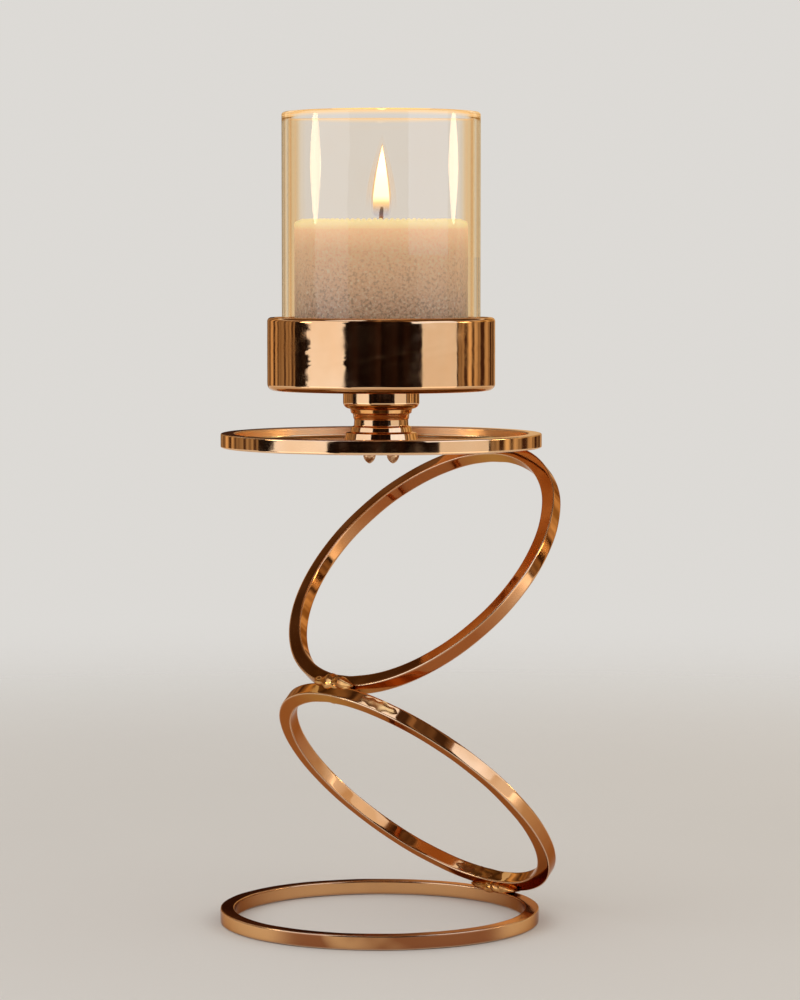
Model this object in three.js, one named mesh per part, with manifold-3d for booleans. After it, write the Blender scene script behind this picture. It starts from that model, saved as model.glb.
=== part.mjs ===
// Hurricane candle holder: four rings of square bar brazed into a leaning stand, with a turned neck,
// a spun cup, a glass chimney and a pillar candle. Millimetres, +Z up, standing on Z = 0.
import * as THREE from 'three';
import { mergeVertices } from 'three/addons/utils/BufferGeometryUtils.js';
import Module from 'manifold-3d';

// Ring stand
const RING_OUTER_RADIUS = 65;
const BAR_WIDTH = 6; // along the ring's radius
const BAR_HEIGHT = 6; // along the ring's axis
const BAR_EDGE_RADIUS = 1;
const LOWER_TILT = 43.4; // degrees from level; the upper ring stands square to the lower one
const LEAN_TURN = 40; // degrees from +X towards +Y, the way in which the rings lean out
const SIDE_STEP = 3; // from the leaning rings' upright plane to the axis of base, neck and cup
const CONTACT_INSET = 2.2; // from the middle of the lower ring's bar inwards to the upper ring's foot
const RING_SEGMENTS = 48;

// Braze
const BRAZE_GAP = 0.3;
const BEAD_RADIUS = 1.5; // at the base and at the top
const BEAD_LENGTH = 18;
const KNOT_RADIUS = 2.2; // where the two leaning rings meet
const KNOT_LENGTH = 13;
const BEAD_SINK = 0.5; // of a bead's radius, from its middle to each wall of its corner
const BEAD_SEGMENTS = 12;

// Plate in the top ring
const PLATE_THICKNESS = 1.5;
const PLATE_CLEARANCE = 0.3;
const PLATE_FILLET = 1.2;

// Studs, washers and dome nuts under the plate
const STUD_SPACING = 9.5;
const STUD_RADIUS = 1.5;
const STUD_IN_NECK = 6;
const STUD_IN_NUT = 3.4;
const THREAD_CLEARANCE = 0.1;
const WASHER_RADIUS = 3.5;
const WASHER_THICKNESS = 0.5;
const NUT_ACROSS_FLATS = 5.5;
const NUT_HEX_HEIGHT = 2.6;
const NUT_DOME_RADIUS = 2.5;
const NUT_DOME_HEIGHT = 3.4;

// Neck
const NECK_FOOT_RADIUS = 16.5;
const NECK_FOOT_HEIGHT = 1.2;
const NECK_FLARE_RADIUS = 15.3;
const NECK_FLARE_HEIGHT = 6.2;
const NECK_BEADS = [
  { radius: 10.9, height: 2.6 },
  { radius: 11.5, height: 1.8 },
  { radius: 12.6, height: 2.2 },
]; // from the waist upwards
const NECK_BEAD_BULGE = 0.6;
const NECK_COLLAR_RADIUS = 15.5;
const NECK_COLLAR_BULGE = 2.3;
const NECK_COLLAR_HEIGHT = 7.6;
const NECK_SEGMENTS = 36;

// Candle, sized first: the chimney goes round it and the cup round the chimney
const CANDLE_RADIUS = 35;
const CANDLE_HEIGHT = 65.2; // to the top edge
const CANDLE_CROWN = 1.2;
const CANDLE_EDGE_RADIUS = 1.6;
const CANDLE_FOOT_CHAMFER = 1;
const CANDLE_SEGMENTS = 40;
const WICK_RADIUS = 1;
const WICK_STICKOUT = 5;
const WICK_TIP_RADIUS = 0.6;
const WICK_TIP_LENGTH = 1.5;
const SUSTAINER_RADIUS = 9;
const SUSTAINER_THICKNESS = 0.5;
const SUSTAINER_COLLAR_RADIUS = 2.4;
const SUSTAINER_COLLAR_HEIGHT = 6;
const WICK_CLEARANCE = 0.15; // in the sustainer's collar
const WAX_GAP = 0.3; // round the wick and the sustainer

// Glass chimney
const CANDLE_CLEARANCE = 2.6;
const GLASS_WALL = 2.4;
const GLASS_HEIGHT = 109;
const GLASS_SEGMENTS = 48;

// Cup
const GLASS_CLEARANCE = 2.6; // to the cup's rolled rim
const CUP_RIM_RADIUS = 1.7;
const CUP_WALL = 1.8;
const CUP_FLOOR = 2.2;
const CUP_HEIGHT = 29.4;
const CUP_OUTER_FILLET = 2.7;
const CUP_INNER_FILLET = 1.5;
const CUP_SEGMENTS = 48;
const SEAT_GAP = 0.3; // under the chimney and under the candle

// Screw from the cup's floor into the neck
const SCREW_RADIUS = 2;
const SCREW_IN_NECK = 8;
const SCREW_TIP_GAP = 0.6;
const SCREW_HEAD_RADIUS = 4;
const SCREW_HEAD_CLEARANCE = 0.2;
const SCREW_HEAD_SINK = 0.15; // below the floor's surface
const SCREW_HEAD_LAND = 0.3; // floor left below the countersink
const SCREW_SLOT_WIDTH = 1;
const SCREW_SLOT_DEPTH = 0.8;

// Shared by every piece
const SMALL_SEGMENTS = 16; // round fasteners and the wick
const CUT_OVERSHOOT = 1; // a cutting body past the face that it opens

const wasm = await Module();
wasm.setup();

const radians = THREE.MathUtils.degToRad;
const point = (x, y) => new THREE.Vector2(x, y);

// Points along an elliptical arc of a profile, with its angles in degrees
function arc(centreX, centreY, radiusX, radiusY, from, to, steps) {
  const curve = new THREE.EllipseCurve(
    centreX, centreY, radiusX, radiusY, radians(from), radians(to), to < from,
  );
  return curve.getPoints(steps);
}

const roundArc = (x, y, radius, from, to, steps) => arc(x, y, radius, radius, from, to, steps);

// Solid of revolution about Z; its profile goes up on the outside, and starts and ends on the axis
function turned(profile, segments) {
  return new THREE.LatheGeometry(profile, segments).rotateX(Math.PI / 2);
}

// Solid of revolution with an open middle, whose profile closes on itself
function turnedRing(profile, segments) {
  return turned([...profile, profile[0]], segments);
}

function cylinder(radius, from, to, segments = SMALL_SEGMENTS) {
  return new THREE.CylinderGeometry(radius, radius, to - from, segments)
    .rotateX(Math.PI / 2)
    .translate(0, 0, (from + to) / 2);
}

// Closed body for joining and cutting: corners are shared, and faces that shrink to a line at a pole go
function body(geometry) {
  const bare = geometry.clone();
  bare.deleteAttribute('normal');
  bare.deleteAttribute('uv');
  const merged = mergeVertices(bare);
  const triangles = [];
  for (let i = 0; i < merged.index.count; i += 3) {
    const [a, b, c] = [0, 1, 2].map((k) => merged.index.getX(i + k));
    if (a !== b && b !== c && c !== a) triangles.push(a, b, c);
  }
  return new wasm.Manifold(new wasm.Mesh({
    numProp: 3,
    vertProperties: merged.attributes.position.array,
    triVerts: new Uint32Array(triangles),
  }));
}

function geometryOf(solid) {
  const mesh = solid.getMesh();
  const geometry = new THREE.BufferGeometry();
  geometry.setAttribute('position', new THREE.BufferAttribute(mesh.vertProperties, 3));
  geometry.setIndex(new THREE.BufferAttribute(mesh.triVerts, 1));
  geometry.computeVertexNormals();
  return geometry;
}

function cut(geometry, tools) {
  return geometryOf(tools.reduce((solid, tool) => solid.subtract(body(tool)), body(geometry)));
}

function joined(first, second) {
  return geometryOf(body(first).add(body(second)));
}

// Finishes
const finish = (color, roughness, metalness) => () =>
  new THREE.MeshStandardMaterial({ color, roughness, metalness });
const roseGold = finish(0xd9a06b, 0.12, 1);
const steel = finish(0xb9b4ac, 0.3, 1);
const wax = finish(0xe9d9bf, 0.7, 0);
const cotton = finish(0x2b211a, 0.9, 0);

function clearGlass() {
  const material = finish(0xf6efe4, 0.02, 0)();
  material.transparent = true;
  material.opacity = 0.25;
  return material;
}

function add(group, name, geometry, material) {
  const mesh = new THREE.Mesh(geometry, material());
  mesh.name = name;
  group.add(mesh);
  return mesh;
}

// Ring of square bar with rounded edges, lying level about the origin, grown all round by an allowance
function barRing(allowance = 0) {
  const outer = RING_OUTER_RADIUS + allowance;
  const inner = RING_OUTER_RADIUS - BAR_WIDTH - allowance;
  const half = BAR_HEIGHT / 2 + allowance;
  const edge = BAR_EDGE_RADIUS + allowance;
  const corner = (x, y, from) => roundArc(x, y, edge, from, from + 90, 2);
  return turnedRing([
    ...corner(outer - edge, edge - half, 270),
    ...corner(outer - edge, half - edge, 0),
    ...corner(inner + edge, half - edge, 90),
    ...corner(inner + edge, edge - half, 180),
  ], RING_SEGMENTS);
}

// From a tilted ring's centre: how far its lowest or highest line lies above or below, and how far out
const tiltedReach = (tilt) => (RING_OUTER_RADIUS - BAR_EDGE_RADIUS) * Math.sin(tilt)
  + (BAR_HEIGHT / 2 - BAR_EDGE_RADIUS) * Math.cos(tilt) + BAR_EDGE_RADIUS;
const tiltedOffset = (tilt) => (RING_OUTER_RADIUS - BAR_EDGE_RADIUS) * Math.cos(tilt)
  - (BAR_HEIGHT / 2 - BAR_EDGE_RADIUS) * Math.sin(tilt);

const BAR_MIDDLE_RADIUS = RING_OUTER_RADIUS - BAR_WIDTH / 2;
const lowerTilt = radians(LOWER_TILT);
const upperTilt = Math.PI / 2 - lowerTilt;

// The leaning rings' centres lie in one upright plane: x is the way they lean, y the height.
// The lower ring stands on the middle of the base ring's bar.
const baseContactX = Math.sqrt(BAR_MIDDLE_RADIUS ** 2 - SIDE_STEP ** 2);
const lowerCentre = point(
  baseContactX - tiltedOffset(lowerTilt),
  BAR_HEIGHT + BRAZE_GAP + tiltedReach(lowerTilt),
);
const lowerFaceNormal = point(Math.sin(lowerTilt), Math.cos(lowerTilt));
const lowerFaceOutwards = point(-Math.cos(lowerTilt), Math.sin(lowerTilt));
const lowerBarMiddle = lowerCentre.clone().addScaledVector(lowerFaceOutwards, BAR_MIDDLE_RADIUS);

// The upper ring stands with its outer wall on the lower ring's upper face
const upperBarMiddle = lowerBarMiddle.clone()
  .addScaledVector(lowerFaceNormal, BAR_HEIGHT / 2 + BRAZE_GAP + BAR_WIDTH / 2)
  .addScaledVector(lowerFaceOutwards, -CONTACT_INSET);
const upperCentre = upperBarMiddle.clone().addScaledVector(lowerFaceNormal, BAR_MIDDLE_RADIUS);

// The top ring's bar rests with its middle on the upper ring's highest line
const topContactX = upperCentre.x + tiltedOffset(upperTilt);
const topRingX = topContactX - baseContactX;
const topRingUnderside = upperCentre.y + tiltedReach(upperTilt) + BRAZE_GAP;

function addRings(leaning) {
  const place = (name, x, y, z, turn) => {
    const ring = add(leaning, name, barRing(), roseGold);
    ring.position.set(x, y, z);
    ring.rotation.y = turn;
    ring.updateMatrix();
    return ring;
  };
  return {
    base: place('base_ring', 0, SIDE_STEP, BAR_HEIGHT / 2, 0),
    lower: place('lower_ring', lowerCentre.x, 0, lowerCentre.y, lowerTilt),
    upper: place('upper_ring', upperCentre.x, 0, upperCentre.y, -upperTilt),
    top: place('top_ring', topRingX, SIDE_STEP, topRingUnderside + BAR_HEIGHT / 2, 0),
  };
}

// Bead of braze in the corner between two bars, set off along a direction that halves the corner
function bead(corner, direction, halfAngle, radius, length, bars) {
  const middle = corner.clone().addScaledVector(direction, (BEAD_SINK * radius) / Math.sin(halfAngle));
  const lump = new THREE.SphereGeometry(1, BEAD_SEGMENTS, BEAD_SEGMENTS)
    .scale(radius, length / 2, radius)
    .translate(middle.x, 0, middle.y);
  return cut(lump, bars.map((bar) => barRing(BRAZE_GAP).applyMatrix4(bar.matrix)));
}

function addBeads(leaning, rings) {
  const towards = (angle) => point(Math.cos(angle), Math.sin(angle));
  const square = Math.PI / 4;
  const base = point(baseContactX, BAR_HEIGHT + BRAZE_GAP / 2);
  const top = point(topContactX, topRingUnderside - BRAZE_GAP / 2);
  const upperFace = lowerBarMiddle.clone().addScaledVector(lowerFaceNormal, BAR_HEIGHT / 2);
  const front = upperFace.clone().addScaledVector(lowerFaceOutwards, BAR_HEIGHT / 2 - CONTACT_INSET);
  const rear = upperFace.clone().addScaledVector(lowerFaceOutwards, -BAR_WIDTH / 2);
  const frontWay = lowerFaceNormal.clone().add(lowerFaceOutwards).normalize();
  const rearWay = frontWay.clone().negate();

  const edgeBead = (name, corner, angle, halfAngle, bars) => add(
    leaning, name, bead(corner, towards(angle), halfAngle, BEAD_RADIUS, BEAD_LENGTH, bars), roseGold,
  );
  const knot = (name, corner, way) => add(
    leaning, name,
    bead(corner, way, square, KNOT_RADIUS, KNOT_LENGTH, [rings.lower, rings.upper]), roseGold,
  );

  edgeBead('base_bead_inner', base, Math.PI - lowerTilt / 2, lowerTilt / 2, [rings.base, rings.lower]);
  edgeBead('base_bead_outer', base, upperTilt / 2, upperTilt / 2, [rings.base, rings.lower]);
  knot('middle_bead_front', front, frontWay);
  knot('middle_bead_rear', rear, rearWay);
  edgeBead('top_bead_inner', top, Math.PI + upperTilt / 2, upperTilt / 2, [rings.top, rings.upper]);
  edgeBead('top_bead_outer', top, -lowerTilt / 2, lowerTilt / 2, [rings.top, rings.upper]);
}

// Everything above the rings is measured from the plate's underside, level with the top ring's
const plateTop = PLATE_THICKNESS;
const neckBeadsHeight = NECK_BEADS.reduce((sum, item) => sum + item.height, 0);
const neckTop = plateTop + NECK_FOOT_HEIGHT + NECK_FLARE_HEIGHT + neckBeadsHeight + NECK_COLLAR_HEIGHT;
const cupFloorTop = neckTop + CUP_FLOOR;
const seat = cupFloorTop + SEAT_GAP;
const glassInnerRadius = CANDLE_RADIUS + CANDLE_CLEARANCE;
const glassOuterRadius = glassInnerRadius + GLASS_WALL;
const cupOuterRadius = glassOuterRadius + GLASS_CLEARANCE + 2 * CUP_RIM_RADIUS;
const studHoleRadius = STUD_RADIUS + THREAD_CLEARANCE;
const studSides = [['left', -STUD_SPACING / 2], ['right', STUD_SPACING / 2]];

function addPlate(head) {
  const radius = RING_OUTER_RADIUS - BAR_WIDTH - PLATE_CLEARANCE;
  const disc = cylinder(radius, 0, plateTop, RING_SEGMENTS);
  const holes = studSides.map(([, x]) => (
    cylinder(studHoleRadius, -CUT_OVERSHOOT, plateTop + CUT_OVERSHOOT).translate(x, 0, 0)
  ));
  add(head, 'top_plate', cut(disc, holes), roseGold);

  // Hollow fillet of braze between the plate and the ring's inner wall
  const fillet = turnedRing([
    point(radius, plateTop),
    ...roundArc(radius - PLATE_FILLET, plateTop + PLATE_FILLET, PLATE_FILLET, 360, 270, 3),
  ], RING_SEGMENTS);
  add(head, 'plate_braze', fillet, roseGold);
}

function addNeckFasteners(head) {
  const nutTop = -WASHER_THICKNESS;
  const nutBottom = nutTop - NUT_HEX_HEIGHT - NUT_DOME_HEIGHT;
  const domeTop = nutTop - NUT_HEX_HEIGHT;
  const hexRadius = NUT_ACROSS_FLATS / Math.sqrt(3);
  const hex = cylinder(hexRadius, domeTop, nutTop, 6);
  const dome = turned([
    ...arc(0, domeTop, NUT_DOME_RADIUS, domeTop - nutBottom, 270, 360, 5),
    point(NUT_DOME_RADIUS, (domeTop + nutTop) / 2),
    point(0, (domeTop + nutTop) / 2),
  ], SMALL_SEGMENTS);
  const bore = cylinder(studHoleRadius, nutTop - STUD_IN_NUT - THREAD_CLEARANCE, nutTop + CUT_OVERSHOOT);
  const nut = cut(joined(hex, dome), [bore]);
  const washer = turnedRing([
    point(studHoleRadius, nutTop),
    point(WASHER_RADIUS, nutTop),
    point(WASHER_RADIUS, 0),
    point(studHoleRadius, 0),
  ], SMALL_SEGMENTS);
  const stud = cylinder(STUD_RADIUS, nutTop - STUD_IN_NUT, plateTop + STUD_IN_NECK);

  for (const [side, x] of studSides) {
    add(head, `neck_stud_${side}`, stud.clone(), steel).position.x = x;
    add(head, `neck_washer_${side}`, washer.clone(), roseGold).position.x = x;
    add(head, `dome_nut_${side}`, nut.clone(), roseGold).position.x = x;
  }
}

function addNeck(head) {
  const flareTop = plateTop + NECK_FOOT_HEIGHT + NECK_FLARE_HEIGHT;
  const profile = [
    point(0, plateTop),
    point(NECK_FOOT_RADIUS, plateTop),
    point(NECK_FOOT_RADIUS, plateTop + NECK_FOOT_HEIGHT),
    point(NECK_FLARE_RADIUS, plateTop + NECK_FOOT_HEIGHT),
  ];
  const bulge = (radius, depth, from, height, steps) => {
    profile.push(...arc(radius - depth, from + height / 2, depth, height / 2, -90, 90, steps));
    return from + height;
  };
  const beadsTop = NECK_BEADS.reduce(
    (z, { radius, height }) => bulge(radius, NECK_BEAD_BULGE, z, height, 3), flareTop,
  );
  bulge(NECK_COLLAR_RADIUS, NECK_COLLAR_BULGE, beadsTop, NECK_COLLAR_HEIGHT, 6);
  const screwHoleRadius = SCREW_RADIUS + THREAD_CLEARANCE;
  const screwHoleBottom = neckTop - SCREW_IN_NECK - SCREW_TIP_GAP;
  profile.push(
    point(screwHoleRadius, neckTop),
    point(screwHoleRadius, screwHoleBottom),
    point(0, screwHoleBottom),
  );
  const studHoleTop = plateTop + STUD_IN_NECK + THREAD_CLEARANCE;
  const studHoles = studSides.map(([, x]) => (
    cylinder(studHoleRadius, plateTop - CUT_OVERSHOOT, studHoleTop).translate(x, 0, 0)
  ));
  add(head, 'neck', cut(turned(profile, NECK_SEGMENTS), studHoles), roseGold);
}

function addCup(head) {
  const inner = cupOuterRadius - CUP_WALL;
  const top = neckTop + CUP_HEIGHT;
  const rimRadius = cupOuterRadius - CUP_RIM_RADIUS;
  const rimStep = Math.abs(CUP_WALL - CUP_RIM_RADIUS);
  const screwHoleRadius = SCREW_RADIUS + SCREW_HEAD_CLEARANCE;
  add(head, 'cup', turnedRing([
    point(screwHoleRadius, neckTop),
    ...roundArc(
      cupOuterRadius - CUP_OUTER_FILLET, neckTop + CUP_OUTER_FILLET, CUP_OUTER_FILLET, 270, 360, 3,
    ),
    ...roundArc(rimRadius, top - CUP_RIM_RADIUS, CUP_RIM_RADIUS, 0, 270, 6),
    point(inner, top - 2 * CUP_RIM_RADIUS - rimStep),
    ...roundArc(inner - CUP_INNER_FILLET, cupFloorTop + CUP_INNER_FILLET, CUP_INNER_FILLET, 360, 270, 2),
    point(SCREW_HEAD_RADIUS + SCREW_HEAD_CLEARANCE, cupFloorTop),
    point(screwHoleRadius, neckTop + SCREW_HEAD_LAND),
  ], CUP_SEGMENTS), roseGold);

  const headTop = cupFloorTop - SCREW_HEAD_SINK;
  const screw = turned([
    point(0, neckTop - SCREW_IN_NECK),
    point(SCREW_RADIUS, neckTop - SCREW_IN_NECK),
    point(SCREW_RADIUS, neckTop + SCREW_HEAD_LAND),
    point(SCREW_HEAD_RADIUS, headTop),
    point(0, headTop),
  ], SMALL_SEGMENTS);
  const slotLength = 2 * (SCREW_HEAD_RADIUS + CUT_OVERSHOOT);
  const slot = new THREE.BoxGeometry(slotLength, SCREW_SLOT_WIDTH, 2 * SCREW_SLOT_DEPTH)
    .translate(0, 0, headTop);
  add(head, 'cup_screw', cut(screw, [slot]), steel);
}

function addGlass(head) {
  const round = GLASS_WALL / 2;
  const middle = glassInnerRadius + round;
  add(head, 'glass_chimney', turnedRing([
    ...roundArc(middle, seat + round, round, 180, 360, 4),
    ...roundArc(middle, seat + GLASS_HEIGHT - round, round, 0, 180, 4),
  ], GLASS_SEGMENTS), clearGlass);
}

function addCandle(head) {
  const edgeTop = seat + CANDLE_HEIGHT;
  const crownTop = edgeTop + CANDLE_CROWN;
  const shoulder = CANDLE_RADIUS - CANDLE_EDGE_RADIUS;
  const boreRadius = WICK_RADIUS + WAX_GAP;
  const recessTop = seat + SUSTAINER_THICKNESS + WAX_GAP;
  const collarTop = seat + SUSTAINER_COLLAR_HEIGHT + WAX_GAP;
  add(head, 'candle', turnedRing([
    point(SUSTAINER_RADIUS + WAX_GAP, seat),
    point(CANDLE_RADIUS - CANDLE_FOOT_CHAMFER, seat),
    point(CANDLE_RADIUS, seat + CANDLE_FOOT_CHAMFER),
    ...roundArc(shoulder, edgeTop - CANDLE_EDGE_RADIUS, CANDLE_EDGE_RADIUS, 0, 90, 3),
    ...arc(boreRadius, edgeTop, shoulder - boreRadius, CANDLE_CROWN, 0, 90, 4).slice(1),
    point(boreRadius, collarTop),
    point(SUSTAINER_COLLAR_RADIUS + WAX_GAP, collarTop),
    point(SUSTAINER_COLLAR_RADIUS + WAX_GAP, recessTop),
    point(SUSTAINER_RADIUS + WAX_GAP, recessTop),
  ], CANDLE_SEGMENTS), wax);

  const wickTop = crownTop + WICK_STICKOUT;
  add(head, 'wick', turned([
    point(0, seat),
    point(WICK_RADIUS, seat),
    point(WICK_RADIUS, wickTop - WICK_TIP_LENGTH),
    point(WICK_TIP_RADIUS, wickTop),
    point(0, wickTop),
  ], SMALL_SEGMENTS), cotton);

  const collarBore = WICK_RADIUS + WICK_CLEARANCE;
  add(head, 'wick_sustainer', turnedRing([
    point(collarBore, seat),
    point(SUSTAINER_RADIUS, seat),
    point(SUSTAINER_RADIUS, seat + SUSTAINER_THICKNESS),
    point(SUSTAINER_COLLAR_RADIUS, seat + SUSTAINER_THICKNESS),
    point(SUSTAINER_COLLAR_RADIUS, seat + SUSTAINER_COLLAR_HEIGHT),
    point(collarBore, seat + SUSTAINER_COLLAR_HEIGHT),
  ], SMALL_SEGMENTS), steel);
}

// The whole holder, with the middle of its outline over the origin
const holder = new THREE.Group();
const leaning = new THREE.Group();
leaning.rotation.z = radians(LEAN_TURN);
holder.add(leaning);
addBeads(leaning, addRings(leaning));

const head = new THREE.Group();
head.position.set(topRingX, SIDE_STEP, topRingUnderside);
head.rotation.z = -leaning.rotation.z;
leaning.add(head);
addPlate(head);
addNeckFasteners(head);
addNeck(head);
addCup(head);
addGlass(head);
addCandle(head);

holder.updateMatrixWorld(true);
const outline = new THREE.Box3().setFromObject(holder, true).getCenter(new THREE.Vector3());
holder.position.set(-outline.x, -outline.y, 0);

export default holder;
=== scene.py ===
# %% [markdown]
# # A hurricane candle holder, dressed around its solids
# The real holder is four brazed rings of square bar that carry a plate, a turned neck, a spun cup, a
# glass chimney and a pillar candle. The solids already have the true sizes and places. This lesson
# remakes each visible piece as a finer surface in the same place and gives it a finish. All shapes
# are worked out in millimetres, and become metres only when a mesh is made.

import bpy
import numpy as np
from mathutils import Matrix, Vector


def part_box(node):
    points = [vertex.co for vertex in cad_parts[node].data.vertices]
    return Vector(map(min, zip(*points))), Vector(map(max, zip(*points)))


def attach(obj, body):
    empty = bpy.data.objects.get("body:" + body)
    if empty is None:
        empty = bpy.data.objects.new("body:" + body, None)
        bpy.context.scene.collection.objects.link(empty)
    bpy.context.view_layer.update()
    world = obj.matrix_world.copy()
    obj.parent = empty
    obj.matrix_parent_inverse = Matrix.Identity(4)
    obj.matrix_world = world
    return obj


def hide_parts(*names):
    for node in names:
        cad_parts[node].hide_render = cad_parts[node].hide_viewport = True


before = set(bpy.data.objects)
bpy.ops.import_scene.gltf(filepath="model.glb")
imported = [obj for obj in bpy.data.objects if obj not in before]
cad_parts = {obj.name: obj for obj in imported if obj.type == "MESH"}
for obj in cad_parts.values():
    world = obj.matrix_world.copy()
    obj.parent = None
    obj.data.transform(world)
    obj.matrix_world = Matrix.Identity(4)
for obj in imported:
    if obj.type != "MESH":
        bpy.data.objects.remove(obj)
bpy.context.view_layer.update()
MM = 0.001

# %% [markdown]
# ## Where the solids are
# A piece could be placed by typing its coordinates again. Reading them from the solids is safer: the
# heights of the cup, chimney, candle and rings all come from their boxes, so the dressing always sits
# where the solid sits. Round pieces stay within it by a small inset, which keeps the holder's size.

# %% Places read from the solids
INSET = 0.05


def box_of(node):
    """Lowest and highest corner of a solid, in millimetres."""
    return tuple(np.array(corner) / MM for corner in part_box(node))


def middle_of(node):
    """Middle of a solid's box, in millimetres."""
    low, high = box_of(node)
    return (low + high) / 2


def levels(node):
    """Lowest and highest level of a solid, in millimetres."""
    low, high = box_of(node)
    return low[2], high[2]


def half_width(node):
    """Half the width of a solid along x, in millimetres."""
    low, high = box_of(node)
    return (high[0] - low[0]) / 2


HEAD_AXIS = middle_of("glass_chimney")[:2]
BASE_AXIS = middle_of("base_ring")[:2]
print("axis of cup and chimney:", HEAD_AXIS.round(2), "axis of base ring:", BASE_AXIS.round(2))

# %% [markdown]
# ## From a grid of points to a closed mesh
# Every piece here is a surface with two parameters, such as round the bar and along the ring. Its
# points form a grid, and neighbours in the grid make a face. A surface that closes on itself runs on
# from its last line of points to its first. At a pole a whole line of points falls together, so equal
# points are welded there. This is done once, for all pieces, with whole arrays.

# %% Points round an axis
ORIGIN = (0.0, 0.0)


def full_turn(steps):
    """Angles of a full turn in equal steps, up to the last before the first comes again."""
    return np.linspace(0, 2 * np.pi, steps, endpoint=False)


def about(axis, radius, height, turn):
    """Points round an upright axis: the radius times (cos t, sin t), at a height."""
    x = axis[0] + radius * np.cos(turn)
    y = axis[1] + radius * np.sin(turn)
    return np.stack(np.broadcast_arrays(x, y, height), -1)


print("a quarter turn of 1 mm:", about(ORIGIN, 1.0, 0.0, full_turn(4))[1].round(3))

# %% Grid to faces


def welded(grid, closed):
    """Faces of a grid: point (i, j) makes one with (i, j+1), (i+1, j+1) and (i+1, j).

    A closed direction joins its last line to its first, and points that fall together become one. The
    volume is a sixth of the sum of a.(b x c) over the triangles, and where it is negative all faces are
    turned over. Gives the points, the place in the grid that each comes from, the faces and the volume."""
    rows, columns = grid.shape[:2]
    lines = [np.arange(count - (not shut)) for count, shut in zip((rows, columns), closed)]
    i, j = np.meshgrid(*lines, indexing="ij")
    steps = ((0, 0), (0, 1), (1, 1), (1, 0))
    faces = np.stack([(i + a) % rows * columns + (j + b) % columns for a, b in steps], -1)
    flat = grid.reshape(-1, 3)
    _, first, place = np.unique(flat.round(6), axis=0, return_index=True, return_inverse=True)
    points = flat[first]
    faces = place.reshape(-1)[faces.reshape(-1, 4)]
    a, b, c, d = points[faces].transpose(1, 0, 2)
    volume = np.einsum("ij,ij->", a, np.cross(b, c) + np.cross(c, d)) / 6
    if closed[1] and volume < 0:
        faces = faces[:, ::-1]
    return points, first, faces, abs(volume)


flat_square = np.array([[(0, 0, 0), (1, 0, 0)], [(0, 1, 0), (1, 1, 0)]], float)
print("faces of one square:", welded(flat_square, (False, False))[2].tolist())

# %% Faces to a dressed mesh


def skin(name, grid, closed=(True, True), marks=None, crease=None):
    """Mesh from a grid, in which a face that lost a corner to welding becomes a triangle.

    marks are numbers kept on the points for the finish to read, as is how far each point faces upward,
    and crease is the angle above which an edge stays sharp."""
    points, first, faces, volume = welded(grid, closed)
    keep = faces != np.roll(faces, 1, axis=1)
    real = keep.sum(1) > 2
    faces, keep = faces[real], keep[real]
    starts = np.cumsum(keep.sum(1)) - keep.sum(1)

    mesh = bpy.data.meshes.new(name)
    mesh.vertices.add(len(points))
    mesh.vertices.foreach_set("co", (points * MM).astype(np.float32).ravel())
    mesh.loops.add(int(keep.sum()))
    mesh.loops.foreach_set("vertex_index", faces[keep].astype(np.int32))
    mesh.polygons.add(len(starts))
    mesh.polygons.foreach_set("loop_start", starts.astype(np.int32))
    mesh.polygons.foreach_set("use_smooth", np.ones(len(starts), bool))
    mesh.update(calc_edges=True)
    mesh.validate()
    if crease is not None:
        mesh.set_sharp_from_angle(angle=np.radians(crease))
    facing = np.empty(3 * len(points), np.float32)
    mesh.vertex_normals.foreach_get("vector", facing)
    kept = {mark: values.reshape(-1)[first] for mark, values in (marks or {}).items()}
    for mark, values in {**kept, "upward": facing[2::3]}.items():
        layer = mesh.attributes.new(mark, "FLOAT", "POINT")
        layer.data.foreach_set("value", values.astype(np.float32))
    made = bpy.data.objects.new(name, mesh)
    bpy.context.scene.collection.objects.link(made)
    print(f"{name}: {len(points)} points, {len(starts)} faces, {volume / 1000:.1f} cm3")
    return made


def dress(made, body, nodes, finish):
    """Lets a piece ride on its body, stand for its solids, and wear its finish."""
    made.data.materials.append(finish)
    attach(made, body)
    if nodes:
        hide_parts(*nodes)
    return made


# %% [markdown]
# ## Shader graphs written as sums
# A finish is a graph of nodes, and drawing one by hand hides its arithmetic. One small class wraps a
# node's output, so that a formula such as 1 - mask adds its own Math nodes, and one method makes any
# other node from its type, settings and inputs.

# %% The wire class


def fill(socket, value):
    """Sets an input's own value. A colour is given as red, green and blue, and its alpha is 1."""
    socket.default_value = (*value, 1) if socket.type == "RGBA" else value


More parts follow.
